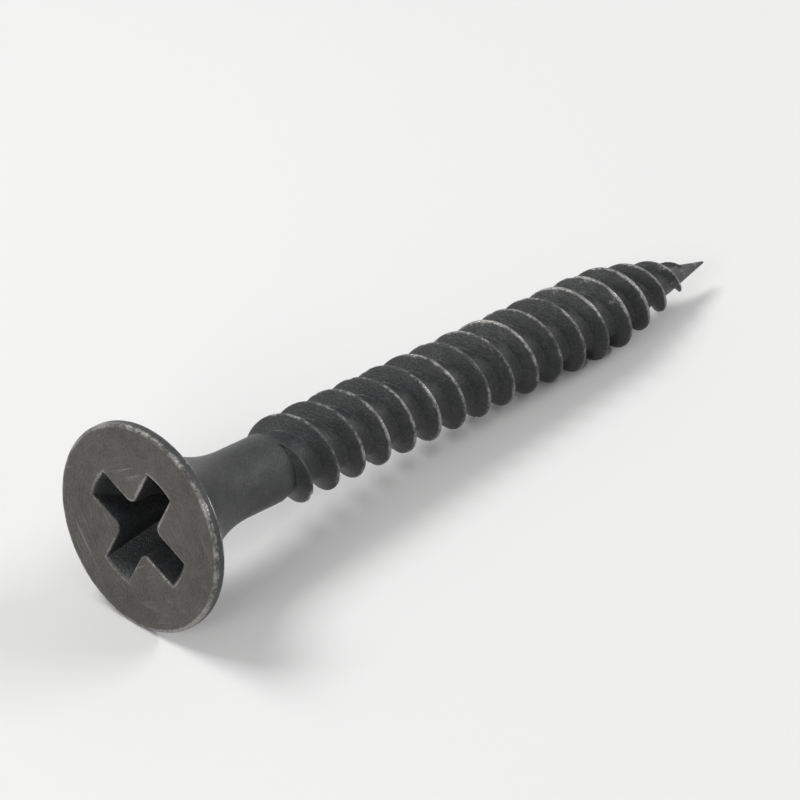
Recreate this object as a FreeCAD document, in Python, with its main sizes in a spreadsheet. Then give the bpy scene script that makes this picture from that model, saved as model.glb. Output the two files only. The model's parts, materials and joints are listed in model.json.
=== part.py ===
"""Drywall screw with a bugle head, a cross recess, a twin-start fine thread and a needle point.

The screw is drawn upright, with the top of its head at the origin and its tip straight below.
Depths are measured down from the top of the head, and reaches are measured up from the tip.
At the end the finished screw is laid down the way it comes to rest on a table.
Lengths are in millimetres and angles in degrees.
"""
import FreeCAD, Part
import math
import os
import Sketcher

Vector = FreeCAD.Vector

# Sizes of the turned blank
SIZES = {
    "overall_length": 32.0,
    "head_diameter": 8.0,
    "rim_height": 0.4,
    "rim_top_chamfer": 0.1,
    "rim_under_chamfer": 0.08,
    "bugle_radius": 5.0,
    "neck_diameter": 2.7,
    "neck_end_depth": 6.6,
    "neck_step_length": 0.5,
    "core_diameter": 2.35,
    "core_point_reach": 7.2,
    "needle_diameter": 1.12,
    "needle_reach": 2.6,
    "tip_diameter": 0.08,
}

# Sizes of the cross recess
SIZES |= {
    "recess_span": 4.8,
    "recess_floor_span": 2.29,
    "recess_side_angle": 26.5,
    "recess_floor_angle": 28.0,
    "wing_width": 1.25,
    "wing_floor_width": 1.0,
    "wing_corner_radius": 0.35,
}

# Sizes of the thread
SIZES |= {
    "thread_diameter": 3.5,
    "crest_spacing": 1.4,
    "crest_width": 0.1,
    "flank_angle": 60.0,
    "thread_lead_in": 0.6,
    "thread_rise_length": 1.4,
    "crest_point_reach": 6.6,
    "crest_point_bulge": 0.2,
    "bare_tip_length": 0.9,
}

# How far the screw rolls past the point where two crests touch the table before it lies still
SIZES |= {
    "settled_roll_angle": -12.6,
}

THREAD_STARTS = 2
WING_COUNT = 4

# The ridges are drawn a quarter turn at a time, each quarter through a few points.
QUARTERS_PER_TURN = 4
POINTS_PER_QUARTER = 3

# Each ridge is rooted inside the core, at this share of the core's radius.
ROOT_SHARE = 0.65

# At its two ends a crest sinks to this share of the core's radius.
SUNK_CREST_SHARE = 0.8

# How finely the resting roll of the screw is searched over one crest spacing
ROLL_STEPS = 200

# Numbers that stand for a sketch's own origin and for the two ends of an edge
ORIGIN_INDEX = -1
START_INDEX = 1
END_INDEX = 2


def make_sheet(doc):
    """Write every size into a spreadsheet, one row each, under its own alias."""
    sheet = doc.addObject("Spreadsheet::Sheet", "sizes")
    for row, (alias, value) in enumerate(SIZES.items(), start=1):
        sheet.set(f"A{row}", alias)
        sheet.set(f"B{row}", str(value))
        sheet.setAlias(f"B{row}", alias)
    doc.recompute()
    return sheet


def add_sketch(body, name, plane, lift=None):
    """Add a sketch on one of the body's own planes, raised along its normal by an expression."""
    sketch = body.newObject("Sketcher::SketchObject", name)
    features = body.Origin.OriginFeatures
    sketch.AttachmentSupport = [(next(f for f in features if f.Role == plane), "")]
    sketch.MapMode = "FlatFace"
    if lift:
        sketch.setExpression("AttachmentOffset.Base.z", lift)
    return sketch


def add_outline(sketch, curves):
    """Add curves that follow each other round a closed outline, and tie their ends together."""
    edges = sketch.addGeometry(curves, False)
    ends = []
    for edge, curve in zip(edges, curves):
        forward = sketch.getPoint(edge, START_INDEX).isEqual(curve.StartPoint, 1e-6)
        ends.append((START_INDEX, END_INDEX) if forward else (END_INDEX, START_INDEX))
    for place, edge in enumerate(edges):
        after = (place + 1) % len(edges)
        tie = Sketcher.Constraint("Coincident", edge, ends[place][1], edges[after], ends[after][0])
        sketch.addConstraint(tie)
    return edges


def drive(sketch, name, constraint, expression):
    """Add a named dimension and let a formula of the sheet's sizes set it."""
    index = sketch.addConstraint(constraint)
    sketch.renameConstraint(index, name)
    sketch.setExpression(f"Constraints.{name}", expression)


def set_across(sketch, name, edge, end, distance, expression):
    """Set how far a corner lies to the right of the origin."""
    place = Sketcher.Constraint("DistanceX", ORIGIN_INDEX, START_INDEX, edge, end, distance)
    drive(sketch, name, place, expression)


def set_below(sketch, name, edge, end, distance, expression):
    """Set how far a corner lies below the origin."""
    place = Sketcher.Constraint("DistanceY", edge, end, ORIGIN_INDEX, START_INDEX, distance)
    drive(sketch, name, place, expression)


def set_above(sketch, name, edge, end, distance, expression):
    """Set how far a corner lies above the origin."""
    place = Sketcher.Constraint("DistanceY", ORIGIN_INDEX, START_INDEX, edge, end, distance)
    drive(sketch, name, place, expression)


def hollow_arc(start, end, radius):
    """Give the arc from start to end whose hollow side faces away from the sketch's vertical axis."""
    chord = end - start
    middle = (start + end) * 0.5
    inward = Vector(chord.y, -chord.x, 0).normalize()
    if inward.x > 0:
        inward = inward * -1
    half = chord.Length / 2
    rise = radius - math.sqrt(radius**2 - half**2)
    return Part.Arc(start, middle + inward * rise, end)


def lines_through(points):
    return [Part.LineSegment(a, b) for a, b in zip(points, points[1:])]


def revolve_profile(body, name, sketch):
    turned = body.newObject("PartDesign::Revolution", name)
    turned.Profile = sketch
    turned.ReferenceAxis = (sketch, ["V_Axis"])
    turned.Angle = 360
    sketch.Visibility = False
    return turned


def shaft_corners(sheet):
    """List the depth and radius of each corner of the shaft, from the neck down to the tip."""
    length = sheet.overall_length
    return [
        (sheet.neck_end_depth, sheet.neck_diameter / 2),
        (sheet.neck_end_depth + sheet.neck_step_length, sheet.core_diameter / 2),
        (length - sheet.core_point_reach, sheet.core_diameter / 2),
        (length - sheet.needle_reach, sheet.needle_diameter / 2),
        (length, sheet.tip_diameter / 2),
    ]


def rim_edge(shape, radius, depth):
    """Name the circular edge of this radius that lies at this depth."""
    for number, edge in enumerate(shape.Edges, start=1):
        curve = edge.Curve
        if not isinstance(curve, Part.Circle):
            continue
        if abs(curve.Radius - radius) < 1e-5 and abs(curve.Center.z + depth) < 1e-5:
            return f"Edge{number}"
    raise RuntimeError("the rim has no such edge")


def chamfer_rim(doc, body, before, size, radius, depth):
    """Break the rim's edge of this radius and depth by the chamfer of that name."""
    chamfer = body.newObject("PartDesign::Chamfer", size)
    chamfer.Base = (before, [rim_edge(before.Shape, radius, depth)])
    chamfer.setExpression("Size", f"sizes.{size}")
    doc.recompute()
    return chamfer


def make_blank(doc, sheet):
    """Turn the head, neck, core and point as one blank, and break the two edges of its rim."""
    body = doc.addObject("PartDesign::Body", "turned_blank")
    head = sheet.head_diameter / 2
    neck = sheet.neck_diameter / 2
    core = sheet.core_diameter / 2
    needle = sheet.needle_diameter / 2
    tip = sheet.tip_diameter / 2
    length = sheet.overall_length
    flare = sheet.bugle_radius
    bugle_depth = sheet.rim_height + math.sqrt(flare**2 - (flare - head + neck) ** 2)
    step_end = sheet.neck_end_depth + sheet.neck_step_length

    rim_top = Vector(head, 0, 0)
    rim_under = Vector(head, -sheet.rim_height, 0)
    neck_top = Vector(neck, -bugle_depth, 0)
    shaft = [Vector(radius, -depth, 0) for depth, radius in shaft_corners(sheet)]
    down = [neck_top] + shaft + [Vector(0, -length, 0), Vector(0, 0, 0)]
    curves = lines_through([Vector(0, 0, 0), rim_top, rim_under])
    curves.append(hollow_arc(rim_under, neck_top, flare))
    curves += lines_through(down)

    sketch = add_sketch(body, "blank_profile", "XZ_Plane")
    edges = add_outline(sketch, curves)
    top, rim, bugle, neck_side, step, core_side, shoulder, point, tip_face, axis = edges
    for level in (top, tip_face):
        sketch.addConstraint(Sketcher.Constraint("Horizontal", level))
    for upright in (rim, neck_side, core_side, axis):
        sketch.addConstraint(Sketcher.Constraint("Vertical", upright))
    sketch.addConstraint(Sketcher.Constraint("Coincident", top, START_INDEX, ORIGIN_INDEX, START_INDEX))

    set_across(sketch, "head_radius", top, END_INDEX, head, "sizes.head_diameter / 2")
    set_below(sketch, "rim_height", rim, END_INDEX, sheet.rim_height, "sizes.rim_height")
    set_across(sketch, "neck_radius", neck_side, START_INDEX, neck, "sizes.neck_diameter / 2")
    arc_centre = "(sizes.bugle_radius - sizes.head_diameter / 2 + sizes.neck_diameter / 2)"
    flare_depth = f"sizes.rim_height + sqrt(sizes.bugle_radius^2 - {arc_centre}^2)"
    set_below(sketch, "bugle_depth", neck_side, START_INDEX, bugle_depth, flare_depth)
    drive(sketch, "bugle_radius", Sketcher.Constraint("Radius", bugle, flare), "sizes.bugle_radius")
    set_below(sketch, "neck_end", neck_side, END_INDEX, sheet.neck_end_depth, "sizes.neck_end_depth")
    set_across(sketch, "core_radius", core_side, START_INDEX, core, "sizes.core_diameter / 2")
    set_below(sketch, "step_end", step, END_INDEX, step_end, "sizes.neck_end_depth + sizes.neck_step_length")
    set_below(
        sketch, "core_end", core_side, END_INDEX, length - sheet.core_point_reach,
        "sizes.overall_length - sizes.core_point_reach",
    )
    set_across(sketch, "needle_radius", point, START_INDEX, needle, "sizes.needle_diameter / 2")
    set_below(
        sketch, "needle_start", point, START_INDEX, length - sheet.needle_reach,
        "sizes.overall_length - sizes.needle_reach",
    )
    set_across(sketch, "tip_radius", point, END_INDEX, tip, "sizes.tip_diameter / 2")
    set_below(sketch, "tip_depth", point, END_INDEX, length, "sizes.overall_length")

    turned = revolve_profile(body, "turning", sketch)
    doc.recompute()

    upper = chamfer_rim(doc, body, turned, "rim_top_chamfer", head, 0)
    body.Tip = chamfer_rim(doc, body, upper, "rim_under_chamfer", head, sheet.rim_height)
    doc.recompute()
    return body


def recess_depths(sheet):
    """Give the depth where the recess's tapered sides end, and the depth of its lowest point."""
    side_drop = (sheet.recess_span - sheet.recess_floor_span) / 2
    sides_end = side_drop / math.tan(math.radians(sheet.recess_side_angle))
    floor_drop = sheet.recess_floor_span / 2 * math.tan(math.radians(sheet.recess_floor_angle))
    return sides_end, sides_end + floor_drop


SIDES_END = "(sizes.recess_span - sizes.recess_floor_span) / 2 / tan(sizes.recess_side_angle)"
LOWEST = f"({SIDES_END} + sizes.recess_floor_span / 2 * tan(sizes.recess_floor_angle))"


def add_flute_section(body, sheet, name, width, lift=None):
    """Draw the corner between two wings, rounded where the wings meet and open outward."""
    sketch = add_sketch(body, name, "XY_Plane", lift)
    wall = getattr(sheet, width) / 2
    round_end = wall + sheet.wing_corner_radius
    far = sheet.recess_span
    wall_end = Vector(wall, round_end, 0)
    floor_start = Vector(round_end, wall, 0)
    outer = [floor_start, Vector(far, wall, 0), Vector(far, far, 0), Vector(wall, far, 0), wall_end]
    curves = [hollow_arc(wall_end, floor_start, sheet.wing_corner_radius)] + lines_through(outer)
    edges = add_outline(sketch, curves)
    corner, floor_side, far_side, far_end, wall_side = edges
    for level in (floor_side, far_end):
        sketch.addConstraint(Sketcher.Constraint("Horizontal", level))
    for upright in (far_side, wall_side):
        sketch.addConstraint(Sketcher.Constraint("Vertical", upright))
    half_width = f"sizes.{width} / 2"
    round_reach = f"{half_width} + sizes.wing_corner_radius"
    set_across(sketch, "wall_across", wall_side, END_INDEX, wall, half_width)
    set_above(sketch, "wall_end", wall_side, END_INDEX, round_end, round_reach)
    set_above(sketch, "floor_above", floor_side, START_INDEX, wall, half_width)
    set_across(sketch, "floor_start", floor_side, START_INDEX, round_end, round_reach)
    radius = Sketcher.Constraint("Radius", corner, sheet.wing_corner_radius)
    drive(sketch, "corner_radius", radius, "sizes.wing_corner_radius")
    set_across(sketch, "far_across", far_side, END_INDEX, far, "sizes.recess_span")
    set_above(sketch, "far_above", far_side, END_INDEX, far, "sizes.recess_span")
    sketch.Visibility = False
    return sketch


def make_punch(doc, sheet):
    """Turn the punch of the cross recess, and mill the four flutes that leave its tapered wings."""
    body = doc.addObject("PartDesign::Body", "cross_punch")
    span = sheet.recess_span / 2
    floor = sheet.recess_floor_span / 2
    sides_end, lowest = recess_depths(sheet)
    corners = [Vector(0, 0, 0), Vector(span, 0, 0), Vector(floor, -sides_end, 0), Vector(0, -lowest, 0)]
    profile = add_sketch(body, "punch_profile", "XZ_Plane")
    edges = add_outline(profile, lines_through(corners + corners[:1]))
    top, side, nose, axis = edges
    profile.addConstraint(Sketcher.Constraint("Horizontal", top))
    profile.addConstraint(Sketcher.Constraint("Vertical", axis))
    profile.addConstraint(Sketcher.Constraint("Coincident", top, START_INDEX, ORIGIN_INDEX, START_INDEX))
    set_across(profile, "span", top, END_INDEX, span, "sizes.recess_span / 2")
    set_across(profile, "floor_span", side, END_INDEX, floor, "sizes.recess_floor_span / 2")
    set_below(profile, "sides_end", side, END_INDEX, sides_end, SIDES_END)
    set_below(profile, "lowest", nose, END_INDEX, lowest, LOWEST)
    revolve_profile(body, "punch_turning", profile)

    mouth = add_flute_section(body, sheet, "flute_mouth", "wing_width")
    floor_section = add_flute_section(body, sheet, "flute_floor", "wing_floor_width", f"-{LOWEST}")
    flute = body.newObject("PartDesign::SubtractiveLoft", "flute")
    flute.Profile = mouth
    flute.Sections = [floor_section]
    flute.Ruled = True
    flutes = body.newObject("PartDesign::PolarPattern", "flutes")
    flutes.Originals = [flute]
    flutes.Axis = (mouth, ["N_Axis"])
    flutes.Angle = 360
    flutes.Occurrences = WING_COUNT
    body.Tip = flutes
    doc.recompute()
    return body


def ease(share):
    """Go from nought to one without a kink at either end."""
    share = min(max(share, 0), 1)
    return share * share * (3 - 2 * share)


class Thread:
    """How far the root and the crest of the thread stand from the axis at each depth."""

    def __init__(self, sheet):
        self.length = sheet.overall_length
        self.spacing = sheet.crest_spacing
        self.lead = sheet.crest_spacing * THREAD_STARTS
        self.start = sheet.neck_end_depth - sheet.thread_lead_in
        self.end = sheet.overall_length - sheet.bare_tip_length
        self.rise = sheet.thread_rise_length
        self.full_radius = sheet.thread_diameter / 2
        self.point_reach = sheet.crest_point_reach
        self.bulge = sheet.crest_point_bulge
        self.half_crest = sheet.crest_width / 2
        self.flank_slope = math.tan(math.radians(sheet.flank_angle / 2))
        self.shaft = shaft_corners(sheet)

    def core(self, depth):
        """Give the shaft's radius at a depth."""
        upper = self.shaft[0]
        for lower in self.shaft:
            if depth <= lower[0]:
                break
            upper = lower
        if lower is upper:
            return upper[1]
        share = (depth - upper[0]) / (lower[0] - upper[0])
        return upper[1] + (lower[1] - upper[1]) * share

    def envelope(self, depth):
        """Give the radius that a crest may reach: full along the shaft, then bowed in to the tip."""
        share = (self.length - depth) / self.point_reach
        if share >= 1:
            return self.full_radius
        bow = 4 * share * (1 - share)
        return self.full_radius * share + self.bulge * bow

    def crest(self, depth):
        """Give the crest's radius, which rises out of the core and sinks into it at the two ends."""
        sunk = SUNK_CREST_SHARE * self.core(depth)
        risen = min(ease((depth - self.start) / self.rise), ease((self.end - depth) / self.rise))
        return sunk + (self.envelope(depth) - sunk) * risen

    def section(self, depth, first_angle):
        """Give the four corners of the ridge where it crosses a half plane through the axis."""
        root = ROOT_SHARE * self.core(depth)
        crest = self.crest(depth)
        half_root = self.half_crest + (crest - root) * self.flank_slope
        angle = first_angle - 2 * math.pi * (depth - self.start) / self.lead
        outward = Vector(math.cos(angle), math.sin(angle), 0)
        half = self.half_crest
        corners = [(root, half_root), (crest, half), (crest, -half), (root, -half_root)]
        return [outward * radius + Vector(0, 0, rise - depth) for radius, rise in corners]


def ridge_solid(thread, first_angle):
    """Build one start of the right-hand thread as a solid ridge that follows the core down."""
    run = thread.end - thread.start
    quarters = math.ceil(run / thread.lead * QUARTERS_PER_TURN)
    steps = quarters * POINTS_PER_QUARTER
    depths = [thread.start + run * step / steps for step in range(steps + 1)]
    sections = [thread.section(depth, first_angle) for depth in depths]
    marks = [float(step) for step in range(steps + 1)]
    rails = []
    for rail_points in zip(*sections):
        rail = Part.BSplineCurve()
        rail.interpolate(Points=list(rail_points), Parameters=marks)
        rails.append(rail)

    faces = []
    for first, last in zip(marks[::POINTS_PER_QUARTER], marks[POINTS_PER_QUARTER::POINTS_PER_QUARTER]):
        pieces = [rail.toShape(first, last) for rail in rails]
        faces += [Part.makeRuledSurface(a, b) for a, b in zip(pieces, pieces[1:] + pieces[:1])]
    for section in (sections[0], sections[-1]):
        faces.append(Part.Face(Part.makePolygon(section + section[:1])))
    shell = Part.makeShell(faces)
    shell.sewShape()
    return Part.makeSolid(shell)


def make_ridges(doc, thread):
    ridges = []
    for start in range(THREAD_STARTS):
        ridge = doc.addObject("Part::Feature", f"thread_ridge_{start + 1}")
        ridge.Shape = ridge_solid(thread, 2 * math.pi * start / THREAD_STARTS)
        ridges.append(ridge)
    return ridges


def rest_rotation(thread, sheet):
    """Find how the screw lies still: on its rim and its thread, near where two crests touch at once."""
    head = sheet.head_diameter / 2
    rim = sheet.rim_height - sheet.rim_under_chamfer
    first = thread.start + thread.rise

    def slope(offset):
        count = int((thread.end - thread.rise - first) / thread.spacing)
        crests = [first + offset + thread.spacing * step for step in range(count)]
        return min((head - thread.envelope(depth)) / (depth - rim) for depth in crests)

    offsets = [thread.spacing * step / ROLL_STEPS for step in range(ROLL_STEPS)]
    both_touch = max(offsets, key=slope)
    settled = both_touch + thread.lead * sheet.settled_roll_angle / 360
    tilt = math.degrees(math.atan(slope(settled)))
    crest_angle = -360 * (first + settled - thread.start) / thread.lead
    roll = FreeCAD.Rotation(Vector(0, 0, 1), 180 - crest_angle)
    fall = FreeCAD.Rotation(Vector(0, 1, 0), tilt - 90)
    return fall * roll


def lay_down(screw, rotation):
    """Lay the screw on the table with its middle over the origin and its tip toward +X."""
    turned = screw.Shape.copy()
    turned.Placement = FreeCAD.Placement(Vector(0, 0, 0), rotation)
    box = turned.optimalBoundingBox(False)
    shift = Vector(-box.Center.x, -box.Center.y, -box.ZMin)
    screw.Placement = FreeCAD.Placement(shift, rotation)


def check_objects(doc):
    for item in doc.Objects:
        if "Invalid" in item.State or "Error" in item.State:
            raise RuntimeError(f"{item.Name} did not compute")


def main():
    os.makedirs("parts", exist_ok=True)
    doc = FreeCAD.newDocument("drywall_screw")
    sheet = make_sheet(doc)
    blank = make_blank(doc, sheet)
    punch = make_punch(doc, sheet)
    headed = doc.addObject("Part::Cut", "headed_blank")
    headed.Base = blank
    headed.Tool = punch
    doc.recompute()
    thread = Thread(sheet)
    screw = doc.addObject("Part::MultiFuse", "screw")
    screw.Shapes = [headed] + make_ridges(doc, thread)
    screw.Refine = False
    doc.recompute()
    lay_down(screw, rest_rotation(thread, sheet))
    doc.recompute()
    check_objects(doc)
    shape = screw.Shape
    if shape.isNull() or not shape.isValid() or len(shape.Solids) != 1:
        raise RuntimeError("the screw is not one sound solid")
    shape.exportStep(f"parts/{screw.Label}.step")


main()
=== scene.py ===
"""Drywall screw with a bugle head, a cross recess and a twin-start fine thread, in black phosphate.

The screw's skin is worked out upright, with the middle of its head's face at the origin and its
tip straight below, and is then laid along the axis of the solid screw on its table.
Depths are measured down from the head's face, and reaches are measured up from the tip.
Lengths are in metres, and how rubbed a place is goes from 0, untouched, to 1, on a sharp edge.
"""
import functools
import json
import math

import bpy
from bpy.props import FloatProperty, FloatVectorProperty, PointerProperty
from mathutils import Matrix, Vector, noise


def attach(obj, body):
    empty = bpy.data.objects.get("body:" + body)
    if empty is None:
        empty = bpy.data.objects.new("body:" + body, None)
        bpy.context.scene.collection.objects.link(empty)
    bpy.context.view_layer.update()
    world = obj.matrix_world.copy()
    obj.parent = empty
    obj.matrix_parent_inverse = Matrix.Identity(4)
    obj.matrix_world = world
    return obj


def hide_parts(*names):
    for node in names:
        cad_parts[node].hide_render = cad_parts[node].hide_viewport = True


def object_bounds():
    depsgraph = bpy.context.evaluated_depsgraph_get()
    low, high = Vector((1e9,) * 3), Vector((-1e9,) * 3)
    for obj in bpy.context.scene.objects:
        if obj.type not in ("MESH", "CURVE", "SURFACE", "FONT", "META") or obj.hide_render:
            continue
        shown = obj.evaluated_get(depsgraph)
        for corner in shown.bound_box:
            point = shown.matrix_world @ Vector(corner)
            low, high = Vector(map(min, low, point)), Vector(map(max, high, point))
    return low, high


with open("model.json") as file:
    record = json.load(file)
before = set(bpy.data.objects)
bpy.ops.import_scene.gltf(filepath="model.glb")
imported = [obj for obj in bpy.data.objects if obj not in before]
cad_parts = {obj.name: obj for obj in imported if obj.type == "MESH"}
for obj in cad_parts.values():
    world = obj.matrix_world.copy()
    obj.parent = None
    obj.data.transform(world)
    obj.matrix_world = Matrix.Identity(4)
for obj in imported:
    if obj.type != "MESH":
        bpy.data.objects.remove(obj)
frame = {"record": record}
CAD_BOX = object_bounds()
MOUNTS = {mount["name"]: mount for mount in frame["record"]["mounts"]}

bl_info = {
    "name": "Drywall Screw",
    "version": (1, 0, 0),
    "blender": (4, 5, 0),
    "location": "View3D > Sidebar > Drywall Screw",
    "description": "A black phosphate drywall screw with a twin-start fine thread",
    "category": "Add Mesh",
}

RIGHT_ANGLE = math.pi / 2
FULL_TURN = 2 * math.pi

# The recess's outline is drawn in eighths, each of half a wing's end, one straight side and half
# of the corner between two wings. The whole skin has as many columns of points round the axis.
WINGS = 4
END_STEPS = 5
WALL_STEPS = 6
CORNER_STEPS = 5
COLUMNS = 2 * WINGS * (END_STEPS + WALL_STEPS + CORNER_STEPS)
SAME_PLACE = 1e-8       # points of the outline that are nearer than this are one

FLOOR_RINGS = (0.3, 0.6, 0.745, 0.8, 0.86, 0.93)  # as shares of the way up the floor cone
SIDE_STEPS = 9
MOUTH_STEPS = 5
BESIDE_MOUTH = ((1.5, 0.5), (2.5, 0.2))  # rings on the face, in mouth rounds, and how rubbed

ROUND_STEP = math.radians(18)   # the most that a round turns in one step
FEWEST_ROUND_STEPS = 3
BESIDE_ROUND = 1.5              # from a corner to the points next to its round, in tangents
BESIDE_ROUND_RUBBED = 0.15

FACE_RING = 0.8                 # a plain ring on the face, as a share of the head's radius
BUGLE_STEPS = 26
NEEDLE_RINGS = (0, 0.3, 0.6, 0.8)  # as shares of the bare needle's length
NEEDLE_RUBBED = 0.6

# The thread's profile is drawn in steps from a crest to the middle of the groove beside it: over
# the crest's edge, down the flank, round its foot and along the groove.
THREAD_STARTS = 2
CREST_RUBBED = 0.9
CREST_ROUND_STEPS = 2
FLANK_PLACES = ((0.14, 0.25), (0.55, 0))  # as shares of the way down a flank, and how rubbed
FOOT_ROUND_STEPS = 3
PROFILE_STEPS = CREST_ROUND_STEPS + len(FLANK_PLACES) + FOOT_ROUND_STEPS + 4
ROWS_PER_CREST = 2 * PROFILE_STEPS
RUN_PASSES = 4          # tries at where a flank meets the core, which also slopes
SUNK_CREST = 0.8        # a crest ends at this share of the core's radius, inside the core
LEAST_STEP = 0.000008   # between two stations where a ridge runs out

WAVER_SIZE = 0.0011
NICK_SIZE = 0.0004
NICK_SHIFT = Vector((7, 3, 5))  # takes the nicks from another part of the noise
NICK_FROM = 0.34        # a nick begins where the noise passes this
NICK_RANGE = 0.4        # and is deepest where the noise is this much more

SHARP_ANGLE = math.radians(38)  # edges that bend by more are shaded as sharp

# Sizes of what shows in the coating.
MOTTLE_SIZE = 0.0006
CLOUD_SIZE = 0.0035
DRAWN_SIZE = 0.00014
RING_SIZE = 0.00013
RING_WAVER = 0.00006
SCRATCH_SIZE = 0.00045
SCRATCHES = ((0.6, 0.0016), (-1.1, 0.0021))  # which way they lie, and how long they run on
DRAWN_OUT = 0.05        # lines are noise that is drawn out to twenty times its length
THINNESS = 70           # a scratch is where the noise is within a seventieth of nought
FACE_FADE = 1 / 9000    # how far down from the face its own colour reaches
RELIEF = 0.000022       # how high the coating's grain stands
ROUGHNESS = 0.42
IOR = 1.45

FLOOR_HALF = 0.6
FLOOR_ROUGHNESS = 0.8
FADE_FROM = 0.03125     # out from here the floor goes over to its even colour,
FADE_LENGTH = 0.0625    # and it has it after this length
WORLD_LEVEL = 0.3
# Each softbox has a name, a place, a size and the share of full light that it gives.
SOFTBOXES = (
    ("key_softbox", (-0.05, 0.12, 0.20), (0.13, 0.09), 0.54),
    ("side_softbox", (-0.22, -0.07, 0.12), (0.10, 0.08), 0.26),
    ("back_strip", (0.17, -0.14, 0.15), (0.16, 0.03), 0.37),
)
LENS = 190              # in millimetres
CLIP_START = 0.005
AIM_SHIFT = Vector((-0.002, 0, -0.001))  # from the middle of the screw to where the camera looks


def length(name, description, default):
    """Describe a length that a user may change."""
    return FloatProperty(
        name=name, description=description, default=default, precision=6, unit="LENGTH"
    )


def angle(name, description, degrees):
    """Describe an angle that a user may change."""
    return FloatProperty(
        name=name, description=description, default=math.radians(degrees), subtype="ANGLE"
    )


def share(name, description, default):
    """Describe a share, from nought to one, that a user may change."""
    return FloatProperty(
        name=name, description=description, default=default, min=0.0, max=1.0, subtype="FACTOR"
    )


def colour(name, description, default):
    """Describe a colour that a user may change."""
    return FloatVectorProperty(
        name=name, description=description, default=default, min=0.0, max=1.0, subtype="COLOR"
    )


def stated_diameter(mount):
    """Give the diameter that the part's record states for one of its mounts."""
    return 2 * MOUNTS[mount]["dims"]["r_mm"] / 1000


class BlankSizes(bpy.types.PropertyGroup):
    """Sizes of the head, neck, core and point."""

    overall_length: length("Length", "From the head's face to the tip", 0.032)
    head_diameter: length("Head", "Diameter over the head's rim", stated_diameter("bugle_seat"))
    rim_height: length("Rim", "Height of the head's thin rim", 0.0004)
    rim_top_round: length("Rim top round", "Round between the face and the rim", 0.00012)
    rim_under_round: length("Rim under round", "Round between the rim and the bugle", 0.0001)
    bugle_radius: length("Bugle", "Radius of the hollow curve under the head", 0.005)
    neck_diameter: length("Neck", "Diameter of the plain neck", 0.0027)
    neck_end_depth: length("Neck end", "Depth where the neck steps down to the core", 0.0066)
    neck_step_length: length("Neck step", "Length of the step from neck to core", 0.0005)
    core_diameter: length("Core", "Diameter at the root of the thread", 0.00235)
    core_point_reach: length("Core point", "Reach where the core begins to narrow", 0.0072)
    needle_diameter: length("Needle", "Diameter where the needle point begins", 0.00112)
    needle_reach: length("Needle reach", "Reach of the needle point", 0.0026)
    tip_diameter: length("Tip", "Diameter of the flat on the very tip", 0.00008)
    tip_round: length("Tip round", "Round on the very tip", 0.00003)


class RecessSizes(bpy.types.PropertyGroup):
    """Sizes of the cross recess in the head."""

    span: length("Span", "Over two opposite wings at the face", stated_diameter("driver_recess"))
    floor_span: length("Floor span", "Over two opposite wings where the floor cone begins", 0.00229)
    side_angle: angle("Side angle", "Slope of the wings' ends to the axis", 26.5)
    floor_angle: angle("Floor angle", "Slope of the floor cone to the face", 28.0)
    wing_width: length("Wing width", "Width of a wing at the face", 0.00125)
    wing_floor_width: length("Wing floor width", "Width of a wing at the floor", 0.001)
    corner_round: length("Corner round", "Round between two wings", 0.00035)
    mouth_round: length("Mouth round", "Round of the edge where the recess opens", 0.00007)


class ThreadSizes(bpy.types.PropertyGroup):
    """Sizes of the twin-start thread."""

    diameter: length("Diameter", "Diameter over the crests", stated_diameter("thread"))
    crest_spacing: length("Spacing", "From one crest to the next along the axis", 0.0014)
    crest_width: length("Crest width", "Width of the flat on a crest", 0.0001)
    crest_round: length("Crest round", "Round on the two edges of a crest", 0.00004)
    root_round: length("Root round", "Round between a flank and the core", 0.0001)
    flank_angle: angle("Flank angle", "Angle between the two flanks of a ridge", 60.0)
    lead_in: length("Lead-in", "How far above the neck's end the thread begins", 0.0006)
    rise_length: length("Rise", "Length over which a crest rises or sinks", 0.0014)
    point_reach: length("Point reach", "Reach where the crests begin to close in", 0.0066)
    point_bulge: length("Point bulge", "How far the crests bow out over the point", 0.0002)
    bare_tip_length: length("Bare tip", "Length of the tip with no thread", 0.0009)
    crest_waver: length("Waver", "How far the crests waver inward", 0.000022)
    nick_depth: length("Nicks", "Depth of the deepest nicks in the crests", 0.00006)


class Finish(bpy.types.PropertyGroup):
    """Colours and texture of the black phosphate."""

    dark: colour("Phosphate", "The coating where it is thick", (0.0155, 0.0165, 0.0182))
    pale: colour("Thin phosphate", "The coating where it is thin and dry", (0.047, 0.0487, 0.0497))
    face: colour("Face", "The thin coating on the head's face", (0.079, 0.074, 0.065))
    steel: colour("Rubbed steel", "Steel that shows through on rubbed edges", (0.30, 0.295, 0.285))
    crystal_size: length("Crystal size", "Size of the coating's grain", 0.00005)
    wear: share("Wear", "How far the edges are rubbed", 0.42)


class StageSettings(bpy.types.PropertyGroup):
    """Floor, light and camera."""

    floor: colour("Floor", "Colour of the floor", (0.86, 0.86, 0.855))
    azimuth: angle("Azimuth", "Direction of the camera round the screw", -47.0)
    elevation: angle("Elevation", "Height of the camera above the horizon", 33.0)
    distance: length("Distance", "From the camera to the middle of the screw", 0.16)


def ease(along):
    """Go from nought to one without a kink at either end."""
    along = min(max(along, 0), 1)
    return along * along * (3 - 2 * along)


def part_way(first, last, along):
    """Give the place that is this share of the way from the first to the last."""
    return tuple(a + (b - a) * along for a, b in zip(first, last))


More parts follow.
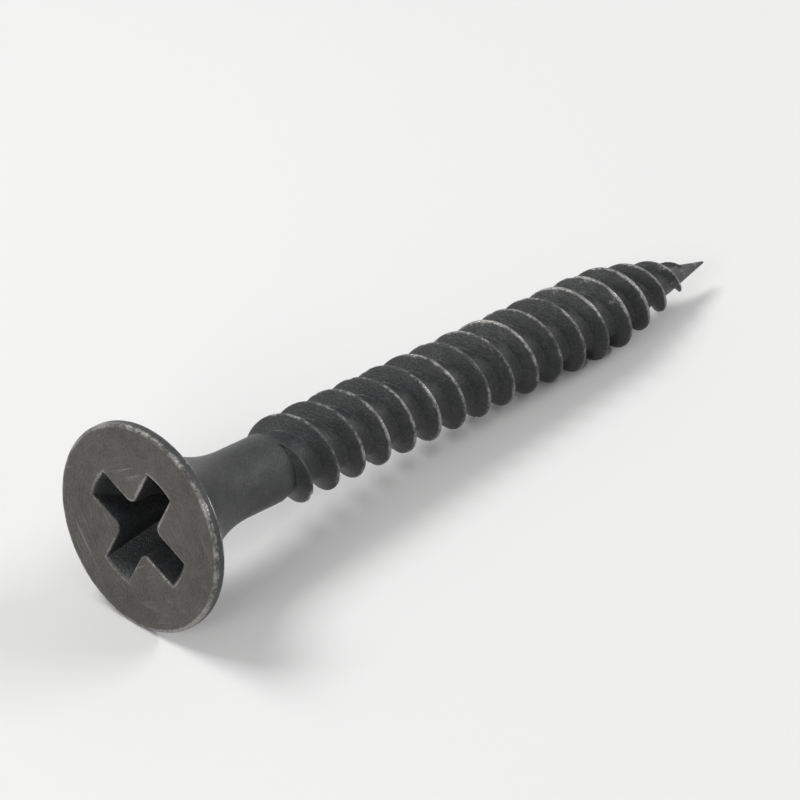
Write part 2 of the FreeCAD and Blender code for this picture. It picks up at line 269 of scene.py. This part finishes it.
class Skin:
    """Collects the points and faces of the screw's surface, and how rubbed each point is."""

    def __init__(self):
        self.points = []
        self.rubbed = []
        self.faces = []

    def point(self, place, rubbed=0.0):
        """Add a point, and give its number."""
        self.points.append(place)
        self.rubbed.append(rubbed)
        return len(self.points) - 1

    def column_point(self, column, radius, depth, rubbed=0.0):
        """Add a point in one of the columns round the axis."""
        turn = FULL_TURN * column / COLUMNS
        return self.point((radius * math.cos(turn), radius * math.sin(turn), -depth), rubbed)

    def ring(self, radius, depth, rubbed=0.0):
        """Add a round ring of points."""
        return [self.column_point(column, radius, depth, rubbed) for column in range(COLUMNS)]

    def pole(self, depth, rubbed=0.0):
        """Add a point on the axis, as a ring whose points fall together."""
        return [self.point((0, 0, -depth), rubbed)] * COLUMNS

    def outline(self, corners, depth, rubbed=0.0):
        """Add a ring of points in the shape of the cross. Points that fall together are one."""
        ring = []
        for x, y in corners:
            place = (x, y, -depth)
            if ring and math.dist(place, self.points[ring[-1]]) < SAME_PLACE:
                ring.append(ring[-1])
            else:
                ring.append(self.point(place, rubbed))
        return ring

    def face(self, corners):
        """Add a face, unless so many of its corners fall together that nothing is left of it."""
        kept = [corner for place, corner in enumerate(corners) if corner != corners[place - 1]]
        if len(set(kept)) > 2:
            self.faces.append(kept)

    def chain(self, rings):
        """Join rings that follow each other from the recess's floor to the tip."""
        for before, after in zip(rings, rings[1:]):
            for here in range(COLUMNS):
                ahead = (here + 1) % COLUMNS
                self.face([before[here], after[here], after[ahead], before[ahead]])


def cross_outline(reach, half_width, corner):
    """Give the recess's outline at one depth: four wings whose ends lie on a circle.

    The circle cuts the wings' straight sides near the face and the corners between the wings
    further down. Near the floor's lowest point it lies inside them, and is all that is left.
    """
    centre = half_width + corner
    straight_end = math.hypot(centre, half_width)
    middle = math.sqrt(2) * centre - corner
    bend_from, bend_to = -RIGHT_ANGLE, -1.5 * RIGHT_ANGLE

    def on_corner(bend):
        """Give a place on the round between two wings."""
        return centre + corner * math.cos(bend), centre + corner * math.sin(bend)

    if reach >= straight_end:
        cut = (math.sqrt(reach**2 - half_width**2), half_width)
        side_end = (centre, half_width)
    elif reach > middle:
        cosine = (reach**2 - 2 * centre**2 - corner**2) / (2 * math.sqrt(2) * centre * corner)
        bend_from = RIGHT_ANGLE / 2 - math.acos(max(cosine, -1))
        cut = side_end = on_corner(bend_from)
    else:
        cut = side_end = (reach / math.sqrt(2), reach / math.sqrt(2))

    eighth = []
    cut_turn = math.atan2(cut[1], cut[0])
    for step in range(END_STEPS + 1):
        turn = cut_turn * step / END_STEPS
        eighth.append((reach * math.cos(turn), reach * math.sin(turn)))
    for step in range(1, WALL_STEPS + 1):
        eighth.append(part_way(cut, side_end, step / WALL_STEPS))
    for step in range(1, CORNER_STEPS + 1):
        bend = bend_from + (bend_to - bend_from) * step / CORNER_STEPS
        eighth.append(on_corner(bend) if reach > middle else cut)

    quarter = eighth[:-1] + [(y, x) for x, y in reversed(eighth[1:])]
    outline = []
    for _ in range(WINGS):
        outline += quarter
        quarter = [(-y, x) for x, y in quarter]
    return outline


def recess_rings(skin, recess):
    """Line the recess, from the lowest point of its floor to its rounded mouth."""
    floor_edge = (recess.span - recess.floor_span) / 2 / math.tan(recess.side_angle)
    lowest = floor_edge + recess.floor_span / 2 * math.tan(recess.floor_angle)
    mouth = recess.mouth_round

    def half_width(depth):
        narrowing = (recess.wing_width - recess.wing_floor_width) / 2
        return recess.wing_width / 2 - narrowing * depth / lowest

    def reach(depth):
        if depth > floor_edge:
            return (lowest - depth) / math.tan(recess.floor_angle)
        return recess.span / 2 - depth * math.tan(recess.side_angle)

    def ring(depth, spread=0.0, rubbed=0.0):
        """Follow the cross at one depth, or that much outside it."""
        corner = recess.corner_round - spread
        corners = cross_outline(reach(depth) + spread, half_width(depth) + spread, corner)
        return skin.outline(corners, depth, rubbed)

    rings = [skin.pole(lowest)]
    rings += [ring(lowest + (floor_edge - lowest) * along) for along in FLOOR_RINGS]
    for step in range(SIDE_STEPS):
        rings.append(ring(floor_edge + (mouth - floor_edge) * step / SIDE_STEPS))
    for step in range(MOUTH_STEPS + 1):
        turn = RIGHT_ANGLE * step / MOUTH_STEPS
        depth, spread = mouth * (1 - math.sin(turn)), mouth * (1 - math.cos(turn))
        rings.append(ring(depth, spread, math.sin(turn)))
    rings += [ring(0, rounds * mouth, rubbed) for rounds, rubbed in BESIDE_MOUTH]
    return rings


def corner_round(before, corner, after):
    """Round one corner of a line, and give its points of (radius, depth, rubbed)."""
    here, size = Vector(corner[:2]), corner[2]
    back = (Vector(before[:2]) - here).normalized()
    on = (Vector(after[:2]) - here).normalized()
    half = back.angle(on) / 2
    tangent = size / math.tan(half)
    centre = here + (back + on).normalized() * size / math.sin(half)
    arm = here + back * tangent - centre
    turn = math.pi - 2 * half
    sweep = turn if back.cross(on) < 0 else -turn
    steps = max(FEWEST_ROUND_STEPS, math.ceil(turn / ROUND_STEP))
    points = [(*(here + back * tangent * BESIDE_ROUND), BESIDE_ROUND_RUBBED)]
    for step in range(steps + 1):
        swung = Matrix.Rotation(sweep * step / steps, 2) @ arm
        points.append((*(centre + swung), 1.0))
    return points + [(*(here + on * tangent * BESIDE_ROUND), BESIDE_ROUND_RUBBED)]


def rounded(corners):
    """Turn a line of (radius, depth, round) into points of (radius, depth, rubbed)."""
    line = [(*corners[0][:2], 0.0)]
    for before, corner, after in zip(corners, corners[1:], corners[2:]):
        line += corner_round(before, corner, after) if corner[2] else [(*corner[:2], 0.0)]
    return line + [(*corners[-1][:2], 0.0)]


def head_rings(skin, blank, thread):
    """Skin the face of the head, its rim, the bugle and the neck down to the thread."""
    head = blank.head_diameter / 2
    neck = blank.neck_diameter / 2
    flare = blank.bugle_radius
    flare_end = blank.rim_height + math.sqrt(flare**2 - (flare - head + neck) ** 2)
    corners = [
        (head * FACE_RING, 0, 0),
        (head, 0, blank.rim_top_round),
        (head, blank.rim_height, blank.rim_under_round),
    ]
    widest = math.asin((flare_end - blank.rim_height) / flare)
    for step in range(1, BUGLE_STEPS + 1):
        turn = widest * (1 - step / BUGLE_STEPS)
        radius = neck + flare - flare * math.cos(turn)
        corners.append((radius, flare_end - flare * math.sin(turn), 0))
    corners += [(neck, (flare_end + thread.start) / 2, 0), (neck, thread.start, 0)]
    return [skin.ring(*place) for place in rounded(corners)]


class Thread:
    """The shape of the thread: how far its core and its ridges stand from the axis."""

    def __init__(self, blank, sizes):
        self.sizes = sizes
        self.length = blank.overall_length
        self.spacing = sizes.crest_spacing
        self.start = blank.neck_end_depth - sizes.lead_in
        self.end = self.length - sizes.bare_tip_length
        self.radius = sizes.diameter / 2
        self.half_flat = sizes.crest_width / 2
        self.slope = math.tan(sizes.flank_angle / 2)
        self.full_run = (self.radius - blank.core_diameter / 2) * self.slope
        self.shaft = [
            (blank.neck_end_depth, blank.neck_diameter / 2),
            (blank.neck_end_depth + blank.neck_step_length, blank.core_diameter / 2),
            (self.length - blank.core_point_reach, blank.core_diameter / 2),
            (self.length - blank.needle_reach, blank.needle_diameter / 2),
            (self.length, blank.tip_diameter / 2),
        ]

    def core(self, depth):
        """Give the core's radius, which changes evenly between the depths of the shaft."""
        for (upper, upper_radius), (lower, lower_radius) in zip(self.shaft, self.shaft[1:]):
            if depth < lower:
                along = max(0, depth - upper) / (lower - upper)
                return upper_radius + (lower_radius - upper_radius) * along
        return lower_radius

    def envelope(self, depth):
        """Give the most that a crest may reach: full along the shaft, then bowed in to the tip."""
        along = (self.length - depth) / self.sizes.point_reach
        if along >= 1:
            return self.radius
        return self.radius * along + self.sizes.point_bulge * 4 * along * (1 - along)

    def crest(self, depth):
        """Give the crest's radius, which rises out of the core and sinks back into it."""
        from_start = (depth - self.start) / self.sizes.rise_length
        from_end = (self.end - depth) / self.sizes.rise_length
        sunk = SUNK_CREST * self.core(depth)
        return sunk + (self.envelope(depth) - sunk) * min(ease(from_start), ease(from_end))

    def crest_losses(self, depth, turn):
        """Give how far the ridge wavers inward here, and how deep a nick is in its crest."""
        place = Vector((self.radius * math.cos(turn), self.radius * math.sin(turn), depth))
        waver = 0.5 + 0.5 * noise.noise(place / WAVER_SIZE)
        nick = max(0, noise.noise(place / NICK_SIZE + NICK_SHIFT) - NICK_FROM) / NICK_RANGE
        return self.sizes.crest_waver * waver, self.sizes.nick_depth * min(nick, 1)

    def flank_run(self, depth, crest, side):
        """Give how far along the axis a flank runs before it meets the core."""
        run = 0
        for _ in range(RUN_PASSES):
            foot = depth + side * (self.half_flat + run)
            run = max(0, crest - self.core(foot)) * self.slope
        return run

    def stations(self, depth, crest, side, run, scale):
        """Follow an unworn ridge from its crest to the middle of the groove beside it.

        Each station is an offset along the axis, a radius, and how rubbed the surface is. The
        scale is how large the ridge is here. The groove's own stations lie on the core.
        """
        bend = RIGHT_ANGLE - self.sizes.flank_angle / 2
        tangent = math.tan(bend / 2)
        top_round = self.sizes.crest_round * scale
        foot_round = self.sizes.root_round * scale
        flat = self.half_flat * scale
        groove = flat + run + foot_round * tangent
        top = [(0, crest, CREST_RUBBED)]
        for step in range(CREST_ROUND_STEPS + 1):
            turn = bend * step / CREST_ROUND_STEPS
            offset = flat - top_round * (tangent - math.sin(turn))
            top.append((offset, crest - top_round * (1 - math.cos(turn)), 1.0))
        foot = []
        for step in range(FOOT_ROUND_STEPS, -1, -1):
            turn = bend * step / FOOT_ROUND_STEPS
            offset = groove - foot_round * math.sin(turn)
            base = self.core(depth + side * offset)
            foot.append((offset, base + foot_round * (1 - math.cos(turn)), 0.0))
        flank = []
        for along, rubbed in FLANK_PLACES:
            offset, radius, _ = part_way(top[-1], foot[0], along)
            flank.append((offset, radius, rubbed))
        middle = self.spacing / 2
        return top + flank + foot + [((groove + middle) / 2, 0, 0.0), (middle, 0, 0.0)]

    def half_profile(self, depth, turn, side):
        """Give the stations on one side of a crest, worn, in order and nowhere inside the core."""
        waver, nick = self.crest_losses(depth, turn)
        crest = max(self.crest(depth) - waver, SUNK_CREST * self.core(depth))
        run = self.flank_run(depth, crest, side)
        scale = min(1, run / self.full_run)
        profile = []
        least = 0
        for offset, radius, rubbed in self.stations(depth, crest, side, run, scale):
            offset = min(max(offset, least), self.spacing / 2)
            least = offset + LEAST_STEP
            radius = max(min(radius, crest - nick), self.core(depth + side * offset))
            profile.append((side * offset, radius, rubbed * scale))
        return profile


def thread_rings(skin, thread, upper_ring):
    """Skin the thread with rows that follow its crests, and give the ring where they end.

    Rows count down the screw. Each crest has a row of its own, and the others lead over the
    groove to the next crest. Once round the screw, a row has risen by the lead, and goes on as
    the row at that height.
    """
    lower_ring = skin.ring(thread.core(thread.end), thread.end)
    lead = thread.spacing * THREAD_STARTS

    @functools.cache
    def ridge_side(crest, side, column):
        """Give the depth of a crest in this column, and the stations on one side of it."""
        depth = thread.start + thread.spacing * crest - lead * column / COLUMNS
        return depth, thread.half_profile(depth, FULL_TURN * column / COLUMNS, side)

    @functools.cache
    def point(row, column):
        """Give the point where a row crosses a column."""
        if column == COLUMNS:
            return point(row - THREAD_STARTS * ROWS_PER_CREST, 0)
        crest, step = divmod(row, ROWS_PER_CREST)
        side = 1
        if step > PROFILE_STEPS:
            crest, step, side = crest + 1, ROWS_PER_CREST - step, -1
        depth, stations = ridge_side(crest, side, column)
        offset, radius, rubbed = stations[step]
        depth += offset
        if depth <= thread.start:
            return upper_ring[column]
        if depth >= thread.end:
            return lower_ring[column]
        return skin.column_point(column, radius, depth, rubbed)

    crests = math.ceil((thread.end - thread.start) / thread.spacing) + THREAD_STARTS + 1
    for row in range(-ROWS_PER_CREST, crests * ROWS_PER_CREST):
        for column in range(COLUMNS):
            corners = [(row, column), (row + 1, column), (row + 1, column + 1), (row, column + 1)]
            skin.face([point(*corner) for corner in corners])
    return lower_ring


def needle_rings(skin, blank, thread):
    """Skin the bare needle, down to its rounded tip."""
    end = blank.overall_length
    depths = [thread.end + (end - thread.end) * along for along in NEEDLE_RINGS]
    corners = [(thread.core(depth), depth, 0) for depth in depths]
    corners += [(blank.tip_diameter / 2, end, blank.tip_round), (0, end, 0)]
    line = rounded(corners)[1:-1]
    rings = [skin.ring(radius, depth, NEEDLE_RUBBED) for radius, depth, _ in line if radius > 0]
    return rings + [skin.pole(end, 1.0)]


def resting_place():
    """Give the matrix that lays the upright screw along the axis of the solid one."""
    middle = Vector(MOUNTS["driver_recess"]["pos_m"])
    up = Vector(MOUNTS["driver_recess"]["axis"]).normalized()
    between_wings = Vector(MOUNTS["head_face"]["pos_m"]) - middle
    between_wings = (between_wings - up * between_wings.dot(up)).normalized()
    wing = Matrix.Rotation(-RIGHT_ANGLE / 2, 3, up) @ between_wings
    place = Matrix((wing, up.cross(wing), up)).transposed().to_4x4()
    place.translation = middle
    return place


def add_object(name, data):
    """Put a mesh, a lamp or a camera into the scene."""
    made = bpy.data.objects.new(name, data)
    bpy.context.scene.collection.objects.link(made)
    return made


def skin_object(name, skin, place):
    """Make the object, with its upright places and its rubbing kept for the finish."""
    mesh = bpy.data.meshes.new(name)
    mesh.from_pydata([place @ Vector(point) for point in skin.points], [], skin.faces)
    upright = mesh.attributes.new("upright", "FLOAT_VECTOR", "POINT")
    upright.data.foreach_set("vector", [value for point in skin.points for value in point])
    rubbed = mesh.attributes.new("rubbed", "FLOAT", "POINT")
    rubbed.data.foreach_set("value", skin.rubbed)
    mesh.update()
    mesh.shade_smooth()
    mesh.set_sharp_from_angle(angle=SHARP_ANGLE)
    return add_object(name, mesh)


class Wire:
    """A node's output that takes part in sums, so that shader maths reads as arithmetic."""

    def __init__(self, shader, socket):
        self.shader = shader
        self.socket = socket

    def reckon(self, operation, first, second=0.0):
        """Add a Math node, and give its result."""
        return self.shader.wire("ShaderNodeMath", {"operation": operation}, {0: first, 1: second})

    def __add__(self, other):
        return self.reckon("ADD", self, other)

    def __radd__(self, other):
        return self.reckon("ADD", other, self)

    def __sub__(self, other):
        return self.reckon("SUBTRACT", self, other)

    def __rsub__(self, other):
        return self.reckon("SUBTRACT", other, self)

    def __mul__(self, other):
        return self.reckon("MULTIPLY", self, other)

    def __rmul__(self, other):
        return self.reckon("MULTIPLY", other, self)

    def __abs__(self):
        return self.reckon("ABSOLUTE", self)

    def clamped(self):
        """Keep a value between nought and one."""
        return self.reckon("MINIMUM", self.reckon("MAXIMUM", self), 1.0)

    def above(self, level, steepness):
        """Be nought up to a level, and rise from there to one."""
        return ((self - level) * steepness).clamped()

    def stretched(self, *factors):
        """Multiply a vector by one factor for each axis."""
        settings = {"operation": "MULTIPLY"}
        return self.shader.wire("ShaderNodeVectorMath", settings, {0: self, 1: factors})

    def length(self):
        """Give the length of a vector."""
        return self.shader.wire("ShaderNodeVectorMath", {"operation": "LENGTH"}, {0: self}, "Value")


class Shader:
    """A material or a world whose nodes are added one call at a time."""

    def __init__(self, owner):
        self.owner = owner
        owner.use_nodes = True
        self.tree = owner.node_tree
        self.tree.nodes.clear()

    def node(self, kind, settings=None, sockets=None):
        """Add a node, set it up, and then give its sockets their values or links."""
        node = self.tree.nodes.new(kind)
        for key, value in (settings or {}).items():
            setattr(node, key, value)
        for key, value in (sockets or {}).items():
            if isinstance(value, Wire):
                self.tree.links.new(value.socket, node.inputs[key])
            else:
                node.inputs[key].default_value = value
        return node

    def wire(self, kind, settings=None, sockets=None, output=0):
        """Add a node, and give one of its outputs."""
        return Wire(self, self.node(kind, settings, sockets).outputs[output])

    def stored(self, name, output):
        """Give what the mesh stores under this name."""
        return self.wire("ShaderNodeAttribute", {"attribute_name": name}, output=output)

    def noise(self, place, size, detail=2.0, roughness=0.5):
        """Give a soft noise on both sides of nought, whose blotches are about this size."""
        sockets = {"Vector": place, "Scale": 1 / size, "Detail": detail, "Roughness": roughness}
        return self.wire("ShaderNodeTexNoise", None, sockets) - 0.5

    def blend(self, factor, first, second):
        """Mix two colours. Their sockets share names with others, and go by number."""
        sockets = {0: factor, 6: first, 7: second}
        return self.wire("ShaderNodeMix", {"data_type": "RGBA"}, sockets, 2)

    def looked_at(self):
        """Be one for what the camera sees, by itself or mirrored, and nought for other light."""
        path = self.node("ShaderNodeLightPath")
        camera = Wire(self, path.outputs["Is Camera Ray"])
        glossy = Wire(self, path.outputs["Is Glossy Ray"])
        transmission = Wire(self, path.outputs["Is Transmission Ray"])
        return (camera + glossy + transmission).clamped()

    def finish(self, kind, surface):
        """Add the last node, and give the material or the world."""
        self.node(kind, None, {"Surface": surface})
        return self.owner


def opaque(values):
    """Add the fourth value that a colour socket wants."""
    return (*values, 1.0)


def scratches(shader, place, heading, run):
    """Give thin broken lines that run about one way across the axis.

    They lie where a drawn-out noise passes through nought, and break off where another is low.
    """
    turned = shader.wire(
        "ShaderNodeVectorRotate", {"rotation_type": "Z_AXIS"}, {"Vector": place, "Angle": heading}
    )
    drawn_out = shader.noise(turned.stretched(1.0, DRAWN_OUT, 1.0), SCRATCH_SIZE, 1.5)
    lines = (1 - THINNESS * abs(drawn_out)).clamped()
    unbroken = shader.noise(turned, run).above(0.03, 7)
    return lines * unbroken


def black_phosphate(finish):
    """Make the finish: dark grain, thinner on the head's face, rubbed to steel along the edges."""
    shader = Shader(bpy.data.materials.new("black_phosphate"))
    place = shader.stored("upright", "Vector")
    rubbed = shader.stored("rubbed", "Fac")
    height_up = shader.wire("ShaderNodeSeparateXYZ", None, {"Vector": place}, "Z")
    on_face = height_up.above(-FACE_FADE, 1 / FACE_FADE)

    cells = {"Vector": place, "Scale": 1 / finish.crystal_size}
    crystals = shader.wire("ShaderNodeTexVoronoi", None, cells)
    grain = shader.noise(place, 2.2 * finish.crystal_size, 3.0, 0.7)
    specks = shader.noise(place, 1.6 * finish.crystal_size, 1.0).above(0.14, 12)
    mottle = shader.noise(place, MOTTLE_SIZE, 4.0, 0.62)
    clouds = shader.noise(place, CLOUD_SIZE, 3.0)
    drawn = shader.noise(place.stretched(1.0, 1.0, DRAWN_OUT), DRAWN_SIZE, 3.0, 0.6)
    from_axis = place.stretched(1.0, 1.0, 0.0).length() + RING_WAVER * mottle
    ring_place = shader.wire("ShaderNodeCombineXYZ", None, {"X": from_axis})
    rings = shader.noise(ring_place, RING_SIZE, 1.0) * on_face

    # Marks show most on the face and on edges, where things rub past.
    first, second = (scratches(shader, place, heading, run) for heading, run in SCRATCHES)
    marks = ((first + second) * (0.25 + 0.8 * on_face + rubbed).clamped()).clamped()

    # The coating is thin, and so paler, in patches, in specks, on the face and along edges.
    thin = 2.0 * grain + 1.5 * mottle + 1.1 * clouds
    thin = (0.26 + thin + 0.4 * rubbed + 0.42 * on_face + 0.5 * specks).clamped()
    thinnest = shader.blend(on_face, opaque(finish.pale), opaque(finish.face))
    coated = shader.blend(thin, opaque(finish.dark), thinnest)

    # Steel shows through in broken patches along rubbed edges, and in the scratches.
    patches = 2.4 * mottle + 2.4 * clouds + 1.6 * grain
    worn = (2.4 * finish.wear * rubbed + patches).above(0.72, 1.8)
    bare = (0.85 * worn + 0.45 * marks).clamped()

    relief = 0.5 * crystals + 1.3 * grain + 1.6 * mottle + 0.35 * drawn + 1.1 * rings
    bump = {"Strength": 1.0, "Distance": RELIEF, "Height": relief - 0.5 * marks}
    sockets = {
        "Base Color": shader.blend(bare, coated, opaque(finish.steel)),
        "Roughness": ROUGHNESS - 0.05 * thin + 0.25 * grain - 0.12 * bare,
        "Metallic": 0.8 * bare,
        "IOR": IOR,
        "Normal": shader.wire("ShaderNodeBump", None, bump),
    }
    surface = shader.wire("ShaderNodeBsdfPrincipled", None, sockets)
    return shader.finish("ShaderNodeOutputMaterial", surface)


class FormScrew(bpy.types.Operator):
    """Skin the screw from its sizes and dress it in black phosphate"""

    bl_idname = "drywall_screw.form_screw"
    bl_label = "Form the Screw"

    def execute(self, context):
        blank = context.scene.screw_blank
        thread = Thread(blank, context.scene.screw_thread)
        skin = Skin()
        rings = recess_rings(skin, context.scene.screw_recess) + head_rings(skin, blank, thread)
        skin.chain(rings)
        lower_ring = thread_rings(skin, thread, rings[-1])
        skin.chain([lower_ring] + needle_rings(skin, blank, thread))

        screw = skin_object("screw_skin", skin, resting_place())
        screw.data.materials.append(black_phosphate(context.scene.screw_finish))
        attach(screw, "root")
        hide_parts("screw")
        return {"FINISHED"}


def aim(made, target):
    """Turn a lamp or a camera toward a point."""
    made.rotation_euler = (target - made.location).to_track_quat("-Z", "Y").to_euler()


def floor_material(stage):
    """Make the pale matt floor, which looks evenly pale to the camera away from the screw."""
    shader = Shader(bpy.data.materials.new("pale_floor"))
    matt = {"Base Color": opaque(stage.floor), "Roughness": FLOOR_ROUGHNESS}
    near = shader.wire("ShaderNodeBsdfPrincipled", None, matt)
    even = {"Color": opaque(stage.floor), "Strength": 1.0}
    far = shader.wire("ShaderNodeEmission", None, even)
    away = shader.wire("ShaderNodeTexCoord", output="Object").length()
    share_far = away.above(FADE_FROM, 1 / FADE_LENGTH) * shader.looked_at()
    surface = shader.wire("ShaderNodeMixShader", None, {0: share_far, 1: near, 2: far})
    return shader.finish("ShaderNodeOutputMaterial", surface)


def add_floor(stage):
    """Lay the pale floor under the screw."""
    mesh = bpy.data.meshes.new("floor")
    half = FLOOR_HALF
    corners = [(-half, -half, 0), (half, -half, 0), (half, half, 0), (-half, half, 0)]
    mesh.from_pydata(corners, [], [(0, 1, 2, 3)])
    mesh.materials.append(floor_material(stage))
    floor = add_object("floor", mesh)


def add_softbox(name, place, size, level, target):
    """Hang a rectangular lamp that gives this share of full light where it is aimed."""
    lamp = bpy.data.lights.new(name, "AREA")
    lamp.shape = "RECTANGLE"
    lamp.size, lamp.size_y = size
    lamp.energy = level * math.pi**2 * (target - Vector(place)).length ** 2
    made = add_object(name, lamp)
    made.location = place
    aim(made, target)


def backdrop_world(stage):
    """Make the even world light, which the camera sees in the floor's colour."""
    shader = Shader(bpy.data.worlds.new("soft_studio"))
    white = {"Color": opaque((1.0, 1.0, 1.0)), "Strength": WORLD_LEVEL}
    light = shader.wire("ShaderNodeBackground", None, white)
    even = {"Color": opaque(stage.floor), "Strength": 1.0}
    seen = shader.wire("ShaderNodeBackground", None, even)
    surface = shader.wire("ShaderNodeMixShader", None, {0: shader.looked_at(), 1: light, 2: seen})
    return shader.finish("ShaderNodeOutputWorld", surface)


def add_camera(stage, target):
    """Set up the camera, and look through it."""
    lens = bpy.data.cameras.new("camera")
    lens.lens = LENS
    lens.clip_start = CLIP_START
    across, height = math.cos(stage.elevation), math.sin(stage.elevation)
    back = (math.sin(stage.azimuth) * across, -math.cos(stage.azimuth) * across, height)
    camera = add_object("camera", lens)
    camera.location = target + Vector(back) * stage.distance
    aim(camera, target)
    bpy.context.scene.camera = camera


class SetStage(bpy.types.Operator):
    """Set up the pale floor, the soft light and the camera"""

    bl_idname = "drywall_screw.set_stage"
    bl_label = "Set the Stage"

    def execute(self, context):
        stage = context.scene.screw_stage
        low, high = CAD_BOX
        middle = (low + high) / 2
        add_floor(stage)
        for softbox in SOFTBOXES:
            add_softbox(*softbox, middle)
        context.scene.world = backdrop_world(stage)
        add_camera(stage, middle + AIM_SHIFT)
        context.scene.view_settings.view_transform = "Standard"
        return {"FINISHED"}


class ScrewPanel(bpy.types.Panel):
    """Lists the steps that make the screw, and the sizes and colours that they use"""

    bl_idname = "VIEW3D_PT_drywall_screw"
    bl_label = "Drywall Screw"
    bl_space_type = "VIEW_3D"
    bl_region_type = "UI"
    bl_category = "Drywall Screw"

    def draw(self, context):
        for operator in OPERATORS:
            self.layout.operator(operator.bl_idname)
        for name, kind in GROUPS.items():
            box = self.layout.box()
            box.label(text=kind.__doc__)
            for setting in kind.__annotations__:
                box.prop(getattr(context.scene, name), setting)


GROUPS = {
    "screw_blank": BlankSizes,
    "screw_recess": RecessSizes,
    "screw_thread": ThreadSizes,
    "screw_finish": Finish,
    "screw_stage": StageSettings,
}
OPERATORS = (FormScrew, SetStage)


def register():
    for kind in (*GROUPS.values(), *OPERATORS, ScrewPanel):
        bpy.utils.register_class(kind)
    for name, kind in GROUPS.items():
        setattr(bpy.types.Scene, name, PointerProperty(type=kind))


def unregister():
    for name in GROUPS:
        delattr(bpy.types.Scene, name)
    for kind in (ScrewPanel, *OPERATORS, *GROUPS.values()):
        bpy.utils.unregister_class(kind)


def main():
    """Make the screw and its stage."""
    register()
    bpy.ops.drywall_screw.form_screw()
    bpy.ops.drywall_screw.set_stage()
    bpy.context.view_layer.update()


if __name__ == "__main__":
    main()
